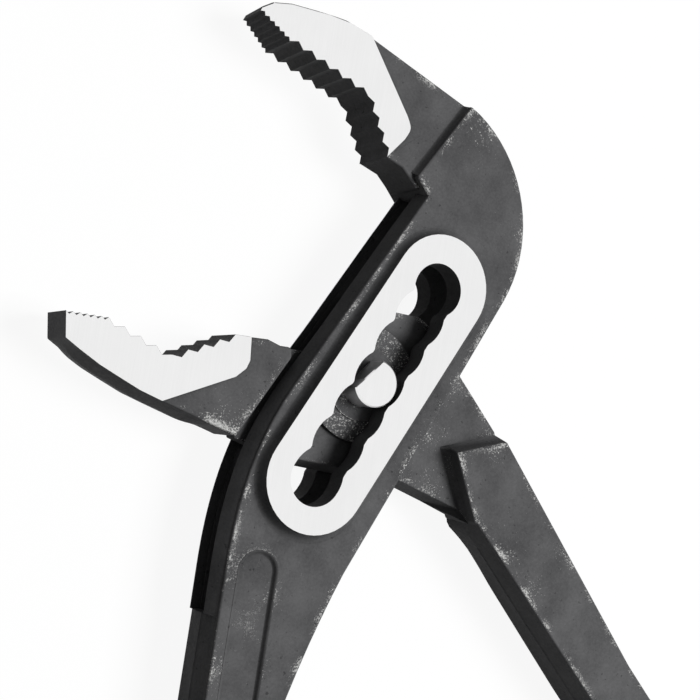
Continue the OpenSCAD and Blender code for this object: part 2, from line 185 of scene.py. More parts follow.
class PliersSizes(bpy.types.PropertyGroup):
    """Sizes that the finishing works with."""

    forged_edge: FloatProperty(
        name="Forged edge", description="Radius of the forgings' worn outer edges",
        default=0.5 * MM, min=0.1 * MM, max=1.0 * MM, unit="LENGTH", precision=5)
    tongue_slope: FloatProperty(
        name="Tongue slope", description="Run of the sloping wall along the tongue's lower side",
        default=1.3 * MM, min=0.2 * MM, max=1.5 * MM, unit="LENGTH", precision=5)
    ground_edge: FloatProperty(
        name="Ground edge", description="Width broken off the sharp edges of ground faces",
        default=0.06 * MM, min=0.02 * MM, max=0.3 * MM, unit="LENGTH", precision=5)
    tooth_edge: FloatProperty(
        name="Tooth edge", description="Radius of the edges of the teeth",
        default=0.08 * MM, min=0.02 * MM, max=0.15 * MM, unit="LENGTH", precision=5)
    pad_slope: FloatProperty(
        name="Pad cove", description="Run of the cove at the foot of the ground pads",
        default=1.7 * MM, min=0.5 * MM, max=1.8 * MM, unit="LENGTH", precision=5)
    shoulder_slope: FloatProperty(
        name="Shoulder slope", description="Run of the slope between the body and the upper jaw",
        default=1.5 * MM, min=1.0 * MM, max=3.0 * MM, unit="LENGTH", precision=5)
    panel_slope: FloatProperty(
        name="Panel slope", description="Run of the slope round the recessed panel",
        default=0.8 * MM, min=0.6 * MM, max=2.4 * MM, unit="LENGTH", precision=5)
    side_draft: FloatProperty(
        name="Side draft", description="How far the outer arm's left side leans out at the parting line",
        default=1.75 * MM, min=0.5 * MM, max=2.0 * MM, unit="LENGTH", precision=5)
    belly_draft: FloatProperty(
        name="Belly draft", description="How far the lower jaw's belly slopes out towards the parting line",
        default=1.0 * MM, min=0.2 * MM, max=1.5 * MM, unit="LENGTH", precision=5)
    parting_ridge: FloatProperty(
        name="Parting ridge", description="Height of the ridge where the dies met on the handles' sides",
        default=0.5 * MM, min=0.2 * MM, max=1.6 * MM, unit="LENGTH", precision=5)
    rib_pitch: FloatProperty(
        name="Rib pitch", description="Distance between the ribs on the grips",
        default=5.0 * MM, min=3.0 * MM, max=8.0 * MM, unit="LENGTH", precision=5)
    rib_depth: FloatProperty(
        name="Rib depth", description="Depth of the grooves between the ribs on the grips",
        default=0.55 * MM, min=0.1 * MM, max=1.0 * MM, unit="LENGTH", precision=5)
    rib_count: IntProperty(
        name="Ribs", description="Number of grooves on each grip", default=9, min=3, max=14)


class PliersColours(bpy.types.PropertyGroup):
    """Colours of the finishes."""

    phosphate: FloatVectorProperty(
        name="Phosphated steel", description="Colour of the forgings' phosphate coat",
        subtype="COLOR", size=3, min=0, max=1, default=linear("#626263"))
    phosphate_dark: FloatVectorProperty(
        name="Phosphate, dark", description="Colour of the coat's darker clouds and pits",
        subtype="COLOR", size=3, min=0, max=1, default=linear("#4A4A4B"))
    worn_steel: FloatVectorProperty(
        name="Worn steel", description="Colour of the steel where the coat has rubbed off",
        subtype="COLOR", size=3, min=0, max=1, default=linear("#CACAC8"))
    ground_steel: FloatVectorProperty(
        name="Ground steel", description="Colour of the ground faces and of the pin",
        subtype="COLOR", size=3, min=0, max=1, default=linear("#F0F0F0"))
    grip_plastic: FloatVectorProperty(
        name="Grip plastic", description="Colour of the grips",
        subtype="COLOR", size=3, min=0, max=1, default=linear("#303032"))
    floor: FloatVectorProperty(
        name="Floor", description="Colour of the floor",
        subtype="COLOR", size=3, min=0, max=1, default=linear("#8A8A8A"))


def add(tree, kind, inputs=None, **settings):
    """Adds a node, gives it its settings, and sets or links its inputs."""
    node = tree.nodes.new(kind)
    for key, value in settings.items():
        setattr(node, key, value)
    for key, value in (inputs or {}).items():
        if isinstance(value, bpy.types.NodeSocket):
            tree.links.new(value, node.inputs[key])
        else:
            node.inputs[key].default_value = value
    return node


def new_material(name):
    """An empty material with its tree and its Object coordinates."""
    material = bpy.data.materials.new(name)
    material.use_nodes = True
    tree = material.node_tree
    tree.nodes.clear()
    return material, tree, add(tree, "ShaderNodeTexCoord").outputs["Object"]


def per_mm(size):
    """The texture scale, in Object metres, of a pattern whose features are size millimetres across."""
    return 1 / (size * MM)


def phosphated_steel():
    """Drop-forged steel with a phosphate coat: a dull dark grey, slightly clouded and finely grained,
    with small dark pits, shade painted into inner corners and onto the sides, and rubbed through to light
    specks along the outer edges and where it slides."""
    colours = bpy.context.scene.pliers_colours
    material, tree, place = new_material("phosphated_forged_steel")
    # Clouds 9 mm across, grain 0.5 mm (coarser than the real crystals, which wouldn't show), pits in a
    # pattern of 0.9 mm, specks 0.36 mm, and rubbed patches 6 mm across
    cloud, grain, pit, speck, patch = (
        add(tree, "ShaderNodeTexNoise",
            {"Vector": place, "Scale": per_mm(size), "Detail": detail, "Roughness": roughness})
        for size, detail, roughness in (
            (9, 4, 0.55), (0.5, 3, 0.7), (0.9, 2, 0.5), (0.36, 3, 0.75), (6, 3, 0.6)))
    tone = add(tree, "ShaderNodeMath", {0: grain.outputs["Fac"], 1: 0.45, 2: cloud.outputs["Fac"]},
               operation="MULTIPLY_ADD")
    tone = add(tree, "ShaderNodeMapRange", {"Value": tone.outputs[0], "From Min": 0.5, "From Max": 0.92})
    coat = add(tree, "ShaderNodeMix", {"Factor": tone.outputs["Result"], "A": (*colours.phosphate_dark, 1),
                                       "B": (*colours.phosphate, 1)}, data_type="RGBA")
    hole = add(tree, "ShaderNodeMapRange", {"Value": pit.outputs["Fac"], "From Min": 0.26, "From Max": 0.32,
                                            "To Min": 0.55, "To Max": 1.0})
    # Painted shade: the coat is darkened within about 2 mm of inner corners and of other parts
    corner_shade = add(tree, "ShaderNodeAmbientOcclusion", {"Distance": 2.2 * MM}, samples=6)
    corner_shade = add(tree, "ShaderNodeMapRange", {"Value": corner_shade.outputs["AO"], "From Min": 0.35,
                                              "From Max": 0.92, "To Min": 0.3, "To Max": 1.0})
    # Painted shade: the trimmed sides and the hollows are darkened against the broad faces, which hands
    # polish
    broad = add(tree, "ShaderNodeAttribute", attribute_name="edge_wear")
    side = add(tree, "ShaderNodeMapRange", {"Value": broad.outputs["Fac"], "To Min": 0.86, "To Max": 1.0})
    # The pits, the painted corner shade and the painted side shade darken the coat
    for shade in (hole, corner_shade, side):
        coat = add(tree, "ShaderNodeMix",
                   {"Factor": 1.0, "A": coat.outputs["Result"], "B": shade.outputs["Result"]},
                   data_type="RGBA", blend_type="MULTIPLY")
    # Rubbing reaches about 2 mm in from a forging's outer edge, in patches
    edge = add(tree, "ShaderNodeAmbientOcclusion", {"Distance": 2.0 * MM},
               inside=True, only_local=True, samples=6)
    edge = add(tree, "ShaderNodeMapRange", {"Value": edge.outputs["AO"], "From Min": 0.97, "From Max": 0.6})
    rub = add(tree, "ShaderNodeMapRange", {"Value": patch.outputs["Fac"], "From Min": 0.38, "From Max": 0.66})
    near_edge = add(tree, "ShaderNodeMapRange",
                    {"Value": edge.outputs["Result"], "To Min": 0.4, "To Max": 1.0})
    edge = add(tree, "ShaderNodeMath", {0: edge.outputs["Result"], 1: rub.outputs["Result"]},
               operation="MULTIPLY")
    # The places that are rubbed most lose their coat further in, and most of it next to an edge
    flat = add(tree, "ShaderNodeVectorMath", {0: place, 1: (1, 1, 0)}, operation="MULTIPLY")
    worn_most = None
    for x, y, radius, share in RUBBED:
        near = add(tree, "ShaderNodeVectorMath", {0: flat.outputs["Vector"], 1: (x * MM, y * MM, 0)},
                   operation="DISTANCE")
        near = add(tree, "ShaderNodeMapRange", {"Value": near.outputs["Value"], "From Max": radius * MM,
                                                "To Min": share, "To Max": 0.0})
        worn_most = near.outputs["Result"] if worn_most is None else add(
            tree, "ShaderNodeMath", {0: worn_most, 1: near.outputs["Result"]}, operation="MAXIMUM").outputs[0]
    rub = add(tree, "ShaderNodeMapRange", {"Value": patch.outputs["Fac"], "From Min": 0.36, "From Max": 0.58,
                                           "To Min": 0.25, "To Max": 1.0})
    most = add(tree, "ShaderNodeMath", {0: worn_most, 1: rub.outputs["Result"]}, operation="MULTIPLY")
    most = add(tree, "ShaderNodeMath", {0: most.outputs[0], 1: near_edge.outputs["Result"]},
               operation="MULTIPLY")
    edge = add(tree, "ShaderNodeMath", {0: edge.outputs[0], 1: most.outputs[0]}, operation="MAXIMUM")
    # Only the broad faces are rubbed, and the boss is worn all over
    edge = add(tree, "ShaderNodeMath", {0: edge.outputs[0], 1: broad.outputs["Fac"]}, operation="MULTIPLY")
    worn = add(tree, "ShaderNodeAttribute", attribute_name="wear")
    edge = add(tree, "ShaderNodeMath", {0: edge.outputs[0], 1: worn.outputs["Fac"]}, operation="MAXIMUM")
    edge = add(tree, "ShaderNodeMath", {0: edge.outputs[0], 1: 0.35, 2: speck.outputs["Fac"]},
               operation="MULTIPLY_ADD")
    bare = add(tree, "ShaderNodeMapRange", {"Value": edge.outputs[0], "From Min": 0.72, "From Max": 0.79})
    skin = add(tree, "ShaderNodeMix", {"Factor": bare.outputs["Result"], "A": coat.outputs["Result"],
                                       "B": (*colours.worn_steel, 1)}, data_type="RGBA")
    shine = add(tree, "ShaderNodeMapRange", {"Value": grain.outputs["Fac"], "From Min": 0.3, "From Max": 0.7,
                                             "To Min": 0.78, "To Max": 0.62})
    rise = add(tree, "ShaderNodeMath", {0: pit.outputs["Fac"], 1: 0.6, 2: grain.outputs["Fac"]},
               operation="MULTIPLY_ADD")
    bump = add(tree, "ShaderNodeBump", {"Height": rise.outputs[0], "Strength": 0.3, "Distance": 0.05 * MM})
    shader = add(tree, "ShaderNodeBsdfPrincipled", {
        "Base Color": skin.outputs["Result"], "Roughness": shine.outputs["Result"],
        "Normal": bump.outputs["Normal"], "Specular IOR Level": 0.1})
    add(tree, "ShaderNodeOutputMaterial", {"Surface": shader.outputs["BSDF"]})
    return material


def ground_steel():
    """Steel ground flat after forging: bright and near white under a soft light,
    with faint straight scratches in the direction of grinding."""
    colours = bpy.context.scene.pliers_colours
    material, tree, place = new_material("ground_bright_steel")
    # Scratches 0.25 mm wide and 12 mm long, wider than the real grit's so that they show
    turned = add(tree, "ShaderNodeMapping", {"Vector": place, "Rotation": (0, 0, math.radians(-8)),
                                             "Scale": (1, 1 / 48, 1)})
    scratch = add(tree, "ShaderNodeTexNoise", {"Vector": turned.outputs["Vector"], "Scale": per_mm(0.25),
                                               "Detail": 3, "Roughness": 0.6})
    haze = add(tree, "ShaderNodeTexNoise", {"Vector": place, "Scale": per_mm(7), "Detail": 2})
    tone = add(tree, "ShaderNodeMath", {0: haze.outputs["Fac"], 1: 0.5, 2: scratch.outputs["Fac"]},
               operation="MULTIPLY_ADD")
    tone = add(tree, "ShaderNodeMapRange", {"Value": tone.outputs[0], "From Min": 0.45, "From Max": 1.05,
                                            "To Min": 0.95, "To Max": 1.0})
    skin = add(tree, "ShaderNodeMix", {"Factor": 1.0, "A": (*colours.ground_steel, 1),
                                       "B": tone.outputs["Result"]}, data_type="RGBA", blend_type="MULTIPLY")
    rough = add(tree, "ShaderNodeMapRange", {"Value": scratch.outputs["Fac"], "From Min": 0.3,
                                             "From Max": 0.7, "To Min": 0.3, "To Max": 0.42})
    bump = add(tree, "ShaderNodeBump",
               {"Height": scratch.outputs["Fac"], "Strength": 0.08, "Distance": 0.02 * MM})
    shader = add(tree, "ShaderNodeBsdfPrincipled", {
        "Base Color": skin.outputs["Result"], "Roughness": rough.outputs["Result"],
        "Normal": bump.outputs["Normal"], "Metallic": 1.0})
    add(tree, "ShaderNodeOutputMaterial", {"Surface": shader.outputs["BSDF"]})
    return material


def grip_plastic():
    """Moulded PVC: charcoal, with a soft sheen and the fine leathery grain of a spark-eroded mould."""
    colours = bpy.context.scene.pliers_colours
    material, tree, place = new_material("moulded_grip_pvc")
    # Grain cells 0.6 mm across, and colour clouds 12 mm across
    cell = add(tree, "ShaderNodeTexVoronoi", {"Vector": place, "Scale": per_mm(0.6)}, feature="F1")
    cloud = add(tree, "ShaderNodeTexNoise", {"Vector": place, "Scale": per_mm(12), "Detail": 3})
    tone = add(tree, "ShaderNodeMapRange", {"Value": cloud.outputs["Fac"], "From Min": 0.3, "From Max": 0.7,
                                            "To Min": 0.85, "To Max": 1.08})
    skin = add(tree, "ShaderNodeMix", {"Factor": 1.0, "A": (*colours.grip_plastic, 1),
                                       "B": tone.outputs["Result"]}, data_type="RGBA", blend_type="MULTIPLY")
    rough = add(tree, "ShaderNodeMapRange", {"Value": cell.outputs["Distance"], "From Max": 0.8,
                                             "To Min": 0.42, "To Max": 0.6})
    bump = add(tree, "ShaderNodeBump",
               {"Height": cell.outputs["Distance"], "Strength": 0.35, "Distance": 0.05 * MM})
    shader = add(tree, "ShaderNodeBsdfPrincipled", {
        "Base Color": skin.outputs["Result"], "Roughness": rough.outputs["Result"],
        "Normal": bump.outputs["Normal"], "IOR": 1.52})
    add(tree, "ShaderNodeOutputMaterial", {"Surface": shader.outputs["BSDF"]})
    return material


FINISHES = {"forged_steel": phosphated_steel, "ground_steel": ground_steel, "grip_plastic": grip_plastic}
MADE = {}


def finish(slot):
    """The finish of one of the record's material slots, made once."""
    if slot not in MADE:
        MADE[slot] = FINISHES[slot]()
    return MADE[slot]


def settle(piece, body, slot, *nodes):
    """Puts a piece into the scene, riding on its body and standing for its CAD nodes."""
    bpy.context.scene.collection.objects.link(piece)
    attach(piece, body)
    if nodes:
        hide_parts(*nodes)
    return piece


def loop_faces(rings, around, closed):
    """Quads between neighbouring rings of a grid of rings x around points, and the rings' own ends:
    a closed grid joins its last ring to its first, an open one has a flat face on each end ring."""
    ring = np.arange(rings if closed else rings - 1)[:, None]
    step = np.arange(around)[None, :]
    here, there = ring * around, (ring + 1) % rings * around
    after = (step + 1) % around
    quads = np.stack([here + step, here + after, there + after, there + step], -1).reshape(-1, 4).tolist()
    if not closed:
        quads += [np.arange(around)[::-1].tolist(), (np.arange(around) + (rings - 1) * around).tolist()]
    return quads


def carried(name, points, closed, material):
    """A solid whose points are a grid: a closed profile (second axis) carried along a path (first axis).
    Faces are turned outwards afterwards, so the profile may run either way round."""
    rings, around = points.shape[:2]
    mesh = bpy.data.meshes.new(name)
    mesh.from_pydata(points.reshape(-1, 3).tolist(), [], loop_faces(rings, around, closed))
    sheet = bmesh.new()
    sheet.from_mesh(mesh)
    bmesh.ops.recalc_face_normals(sheet, faces=sheet.faces)
    sheet.to_mesh(mesh)
    sheet.free()
    mesh.polygons.foreach_set("use_smooth", np.ones(len(mesh.polygons), bool))
    mesh.set_sharp_from_angle(angle=math.radians(ADDED_BEND))
    mesh.materials.append(material)
    return bpy.data.objects.new(name, mesh)


def body_half(y):
    """Half thickness of the outer arm's body at y: it rises in a straight line between the two ends."""
    share = np.clip((y - BODY_THIN_Y) / (BODY_THICK_Y - BODY_THIN_Y), 0, 1)
    return BODY_THIN + (BODY_THICK - BODY_THIN) * share


def stadium(centre, angle, reach, radius, count):
    """Points and outward normals round a slot shape: two half circles of a radius,
    joined by straight sides of twice the reach."""
    straight = np.linspace(-1, 1, count // 4)[1:-1]
    right = np.linspace(-np.pi / 2, np.pi / 2, count // 2)
    left = right + np.pi
    rounds = [np.c_[reach + radius * np.cos(right), radius * np.sin(right)],
              np.c_[-reach * straight, np.full(len(straight), radius)],
              np.c_[-reach + radius * np.cos(left), radius * np.sin(left)],
              np.c_[reach * straight, np.full(len(straight), -radius)]]
    normals = [np.c_[np.cos(right), np.sin(right)], np.tile([0.0, 1.0], (len(straight), 1)),
               np.c_[np.cos(left), np.sin(left)], np.tile([0.0, -1.0], (len(straight), 1))]
    spin = np.array([[math.cos(angle), math.sin(angle)], [-math.sin(angle), math.cos(angle)]])
    return np.vstack(rounds) @ spin + np.array(centre), np.vstack(normals) @ spin


def lay(path, out, away, height):
    """Points at distances away from a path along its normals out, at heights from the middle plane, in mm."""
    flat = path[:, None, :] + away[:, :, None] * out[:, None, :]
    return np.dstack([flat * MM, MID + height * MM])


def table(at, rows):
    """Values at some places, in straight lines between the rows of a table of places and values."""
    return np.interp(at, *np.array(rows, float).T)


def smooth(share):
    """A share from 0 to 1, eased at both ends: 3 u squared less 2 u cubed."""
    share = np.clip(share, 0, 1)
    return share * share * (3 - 2 * share)


def slope_solid(foot, out, low, high, run, face, cove=0):
    """Points of a forged slope: at each point of a path (foot, in mm) the profile rises from run mm away
    along out, at height low, to the wall at height high, and comes back inside the metal. At a share u
    of the way, the rise is u - sin(2 pi u) / 12, which rounds the slope's foot and top. A cove rises as
    u to the power given instead: flat at its foot and steep at the wall."""
    u = np.linspace(0, 1, 16)
    rise = u ** cove if cove else u - np.sin(2 * np.pi * u) / 12
    low, high = (np.broadcast_to(level, len(foot))[:, None] for level in (low, high))
    away = np.concatenate([(1 - u) * run, [-SLOPE_BACK, run - SLOPE_TOE]])
    sunk = low - SLOPE_SUNK
    height = np.hstack([low - SLOPE_DIP + (high - low + SLOPE_DIP) * rise, sunk, sunk])
    return lay(foot, out, np.broadcast_to(away, height.shape), face * height)


def read(rows, key, kind, width=1):
    """One property of every row of a mesh's list, as an array."""
    values = np.empty(len(rows) * width, kind)
    rows.foreach_get(key, values)
    return values.reshape(-1, width) if width > 1 else values


def edge_faces(mesh):
    """For each edge: its two faces' normals, its two ends, and whether it sticks out.
    Each edge has two loops, so sorting the loops by edge pairs them up."""
    loops, polygons = len(mesh.loops), len(mesh.polygons)
    if loops != 2 * len(mesh.edges):
        raise RuntimeError("an edge of the forging doesn't have two faces")
    edge_of, point_of = (read(mesh.loops, key, np.int32) for key in ("edge_index", "vertex_index"))
    start, total = (read(mesh.polygons, key, np.int32) for key in ("loop_start", "loop_total"))
    normal = read(mesh.polygons, "normal", np.float32, 3)
    spot = read(mesh.vertices, "co", np.float32, 3)
    face_of = np.repeat(np.arange(polygons), total)
    following = np.arange(1, loops + 1)
    following[start + total - 1] = start
    pair = np.argsort(edge_of, kind="stable").reshape(-1, 2)
    first, second = pair[:, 0], pair[:, 1]
    a, b = spot[point_of[first]], spot[point_of[following[first]]]
    n0, n1 = normal[face_of[first]], normal[face_of[second]]
    into = np.cross(n0, b - a)
    return n0, n1, a, b, (into * n1).sum(1) < 0


def off_line(points, ends):
    """Distance of points from a line through several points: each one is dropped square onto every stretch,
    but no further along than the stretch's ends, and the nearest counts."""
    ends = np.array(ends)
    a, d = ends[:-1], np.diff(ends, axis=0)
    share = np.clip(((points[:, None] - a) * d).sum(2) / (d * d).sum(1), 0, 1)
    return np.linalg.norm(points[:, None] - a - share[..., None] * d, axis=2).min(1)


def slope_tongue(mesh, run):
    """Leans the wall on the tongue's lower side: its points on the tongue's front face move up by run."""
    spot = read(mesh.vertices, "co", np.float32, 3)
    x, y, z = spot.T / MM
    wall = (np.abs(z - MID / MM - TONGUE_HALF) < LEVEL_ROOM) & (y < TONGUE_LOW_Y)
    spot[wall & (np.abs(x - TONGUE_X) < TONGUE_REACH), 1] += run
    mesh.vertices.foreach_set("co", spot.ravel())
    mesh.update()


def mark_faces(mesh, node):
    """Gives ground faces bright steel, and marks the worn boss and the faces that hands and pockets rub."""
    centre = read(mesh.polygons, "center", np.float32, 3) / MM
    normal = read(mesh.polygons, "normal", np.float32, 3)
    upright = np.abs(normal[:, 2])
    level = np.abs(centre[:, 2] - MID / MM)
    flat = upright > LEVEL_FACE
    pad = flat & (level > PAD_TOP / MM - LEVEL_ROOM)
    x, y = centre[:, 0], centre[:, 1]
    jaw = (x < UPPER_JAW_X) & ((y > UPPER_JAW_Y) | (x < LOWER_JAW_X)) & (y > LOWER_JAW_Y)
    land = flat & jaw & (np.abs(level - ARM_HALF) < LEVEL_ROOM)
    nose = (upright > NOSE_FACE) & ~flat & jaw
    mesh.polygons.foreach_set("material_index", (pad | land | nose).astype(np.int32))
    boss = flat & (np.abs(level - BOSS_HALF) < LEVEL_ROOM) & (node == "inner_arm")
    wear = boss.astype(np.float32) * BOSS_WEAR
    mesh.attributes.new("wear", "FLOAT", "FACE").data.foreach_set("value", wear)
    # The sides and the inside of the box aren't rubbed, and the material darkens these unrubbed faces as
    # painted shade
    rubbed = (upright > BROAD_FACE) & ((level > BOX_HALF + BOX_FACES) | (node == "inner_arm"))
    mesh.attributes.new("edge_wear", "FLOAT", "FACE").data.foreach_set("value", rubbed.astype(np.float32))
    mesh.polygons.foreach_set("use_smooth", np.ones(len(mesh.polygons), bool))


def mark_edges(mesh, node):
    """Weights each outer edge with the bevel that its kind of edge has, and marks the sharp ones without."""
    sizes = bpy.context.scene.pliers_sizes
    n0, n1, a, b, convex = edge_faces(mesh)
    bend = np.degrees(np.arccos(np.clip((n0 * n1).sum(1), -1, 1)))
    middle = (a + b) / 2 / MM
    height = np.abs(middle[:, 2] - MID / MM)
    away = np.minimum(off_line(middle[:, :2], UPPER_TEETH), off_line(middle[:, :2], LOWER_TEETH))
    turn = np.array([math.cos(SLOT_ANGLE), math.sin(SLOT_ANGLE)])
    slot_along = middle[:, :2] @ turn
    slot_across = middle[:, :2] @ np.array([-turn[1], turn[0]])
    in_slot = (np.abs(slot_across) < SLOT_HALF) & (np.abs(slot_along) < SLOT_END)
    width = np.full(len(middle), sizes.forged_edge)
    width[height < BOX_HALF + BOX_EDGES] = sizes.ground_edge * BOX_BREAK
    on_jaw = middle[:, 1] > JAW_EDGE_Y if node == "outer_arm" else middle[:, 0] < JAW_EDGE_X
    width[(np.abs(height - ARM_HALF) < LEVEL_ROOM) & on_jaw] = sizes.ground_edge
    width[in_slot] = sizes.ground_edge
    # The pads' own edges stay as the grinding left them
    if node == "outer_arm":
        width[in_slot | (height > PAD_TOP / MM - LEVEL_ROOM)] = 0
    width[away < TOOTH_ROOM] = sizes.tooth_edge
    width[~convex | (bend < BEVEL_BEND)] = 0
    mesh.attributes.new("bevel_weight_edge", "FLOAT", "EDGE").data.foreach_set(
        "value", (width / sizes.forged_edge).astype(np.float32))
    sharp = (bend > SHARP_BEND) & (width == 0)
    mesh.attributes.new("sharp_edge", "BOOLEAN", "EDGE").data.foreach_set("value", sharp)


def forging(node, name, body):
    """A merged copy of a CAD arm: flat triangles joined into whole faces, ground faces in bright steel,
    rubbed faces marked, and a bevel on each outer edge of the width that its kind of edge has."""
    sizes = bpy.context.scene.pliers_sizes
    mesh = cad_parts[node].data.copy()
    mesh.name = name
    shell = bmesh.new()
    shell.from_mesh(mesh)
    bmesh.ops.remove_doubles(shell, verts=shell.verts, dist=MERGE_DISTANCE * MM)
    bmesh.ops.dissolve_limit(shell, angle_limit=MERGE_ANGLE, verts=shell.verts, edges=shell.edges)
    shell.to_mesh(mesh)
    shell.free()
    if node == "inner_arm":
        slope_tongue(mesh, sizes.tongue_slope)
    mesh.materials.clear()
    mesh.materials.append(finish("forged_steel"))
    mesh.materials.append(finish("ground_steel"))
    mark_faces(mesh, node)
    mark_edges(mesh, node)

    piece = bpy.data.objects.new(name, mesh)
    settle(piece, body, "forged_steel", node)
    bevel = piece.modifiers.new("worn_edges", "BEVEL")
    bevel.limit_method, bevel.offset_type = "WEIGHT", "OFFSET"
    bevel.width, bevel.segments, bevel.use_clamp_overlap = sizes.forged_edge, 3, False
    bevel.miter_outer = "MITER_ARC"
    even = piece.modifiers.new("even_shading", "WEIGHTED_NORMAL")
    even.keep_sharp, even.weight = True, 60
    return piece


class PLIERS_OT_outer_arm(bpy.types.Operator):
    """Makes the outer arm's forging with its ground pads and land"""

    bl_idname = "pliers.outer_arm"
    bl_label = "Outer arm"

    def execute(self, context):
        forging("outer_arm", "outer_arm_forging", "outer")
        return {"FINISHED"}


class PLIERS_OT_inner_arm(bpy.types.Operator):
    """Makes the inner arm's forging with its ground land and worn boss"""

    bl_idname = "pliers.inner_arm"
    bl_label = "Inner arm"

    def execute(self, context):
        forging("inner_arm", "inner_arm_forging", "inner")
        return {"FINISHED"}


class PLIERS_OT_slopes(bpy.types.Operator):
    """Makes the forged slopes: round the pads, along the shoulder and inside the recessed panels"""

    bl_idname = "pliers.slopes"
    bl_label = "Slopes"

    def execute(self, context):
        sizes, steel = context.scene.pliers_sizes, finish("forged_steel")
        for side, face in (("front", 1), ("back", -1)):
            foot, out = stadium(PAD_CENTRE, SLOT_ANGLE, PAD_REACH, PAD_RADIUS, 96)
            points = slope_solid(foot, out, body_half(foot[:, 1]), PAD_TOP / MM - COVE_DROP,
                                 sizes.pad_slope / MM, face, COVE_POWER)
            settle(carried(f"pad_slope_{side}", points, True, steel), "outer", "forged_steel")

            share = np.linspace(*SHOULDER_RUN, 24)[:, None]
            (low, top), (low_out, top_out) = np.array(SHOULDER), np.array(SHOULDER_OUT)
            out = low_out * (1 - share) + top_out * share
            foot = low + (top - low) * share - SHOULDER_INSET * out
            points = slope_solid(foot, out, SHOULDER_FOOT, body_half(foot[:, 1]) + SLOPE_PROUD,
                                 sizes.shoulder_slope / MM, face)
            settle(carried(f"shoulder_slope_{side}", points, False, steel), "outer", "forged_steel")

            middle = (PANEL_X, PANEL_TOP_Y - PANEL_LENGTH / 2)
            reach, radius = PANEL_LENGTH / 2 - PANEL_HALF, PANEL_HALF + PANEL_INSET
            foot, out = stadium(middle, math.pi / 2, reach, radius, 72)
            surface = body_half(foot[:, 1])
            points = slope_solid(foot, -out, surface - PANEL_DEPTH, surface + SLOPE_PROUD,
                                 sizes.panel_slope / MM, face)
            settle(carried(f"panel_slope_{side}", points, True, steel), "outer", "forged_steel")
        return {"FINISHED"}


def bow(s):
    """How far a handle's middle line bows out at s mm from the pivot: half a cosine wave up to the end."""
    return HANDLE_BOW * (1 - np.cos(np.pi * np.maximum(0, s - BOW_FROM) / (HANDLE_END - BOW_FROM))) / 2


def swung(points, angle):
    """Points turned about the pivot by an angle."""
    c, s = math.cos(angle), math.sin(angle)
    return points @ np.array([[c, s, 0], [-s, c, 0], [0, 0, 1]])


def side_path():
    """Points down the outer arm's left side, in mm: straight beside the slot, a Bezier curve round the knee,
    and the handle's side down into its grip, with two points close together at the box's floor."""
    knee, top, foot = np.array(CHEEK_LEFT[0]), np.array(CHEEK_LEFT[1]), np.array(KNEE_FOOT)
    down = (knee - top) / np.linalg.norm(knee - top)
    t = np.linspace(0, 1, 32)[:, None]
    curve = ((1 - t) ** 3 * knee + 3 * (1 - t) ** 2 * t * (knee + KNEE_PULL * down)
             + 3 * (1 - t) * t ** 2 * (foot + np.array([0, KNEE_PULL])) + t ** 3 * foot)
    s = np.concatenate([-BOX_FLOOR_Y + np.array([-0.15, 0.15]), np.linspace(-BOX_FLOOR_Y + 2, INTO_GRIP, 26)])
    even = np.array([HANDLE_EVEN, (HANDLE_EVEN + GRIP_FROM) / 2, GRIP_FROM, GRIP_FROM + 5])
    x = np.interp(s, np.r_[-foot[1], even], np.r_[foot[0], OUTER_X - HANDLE_HALF - bow(even)])
    return np.vstack([np.linspace(top, knee, 20)[:-1], curve, np.c_[x, -s]])


def inner_side_path():
    """Points down the inner arm's left side, in mm: round the crotch, straight on to where the handle is
    even, and the handle's bowed side into its grip."""
    s = np.linspace(HANDLE_EVEN, INTO_GRIP, 10)
    side = swung(np.c_[INNER_X - HANDLE_HALF + bow(s), -s, 0 * s], INNER_ANGLE)[:, :2]
    start, bend, low = np.array(CROTCH)
    return np.vstack([start, np.linspace(bend, low, 6)[:-1], np.linspace(low, side[0], 24)[:-1], side])


def outwards(path):
    """Normals on the right-hand side of a path's direction."""
    step = np.gradient(path, axis=0)
    step = step / np.linalg.norm(step, axis=1)[:, None]
    return np.c_[step[:, 1], -step[:, 0]]


def side_draft(path, most, edge, top, face, open_box):
    """Points of the draft on one half of a side: from edge mm outside the wall, at height top, it slopes out
    as u to a power, by most at the box's inner face where the box is open, or else at the parting line."""
    low = np.where(open_box, BOX_HALF + DRAFT_LAP, 0.0)[:, None]
    broken = np.where(open_box, DRAFT_BROKEN, -DRAFT_LAP)[:, None]
    u = np.linspace(0, 1, 8)[None, :]
    most, edge, top = most[:, None], edge[:, None], top[:, None]
    inside = np.full((len(path), 3), [-DRAFT_START, -DRAFT_INSIDE, -DRAFT_INSIDE])
    away = np.hstack([edge + (most - edge) * u ** DRAFT_POWER, most - broken, inside])
    shoulder = top - DRAFT_TUCK + np.clip(TUCK_LIFT * edge, 0, TUCK_LIFT_MOST)
    height = np.hstack([top + (low + np.abs(broken) - top) * u, low, low, low + DRAFT_TUCK, shoulder])
    return lay(path, outwards(path), away, face * height)


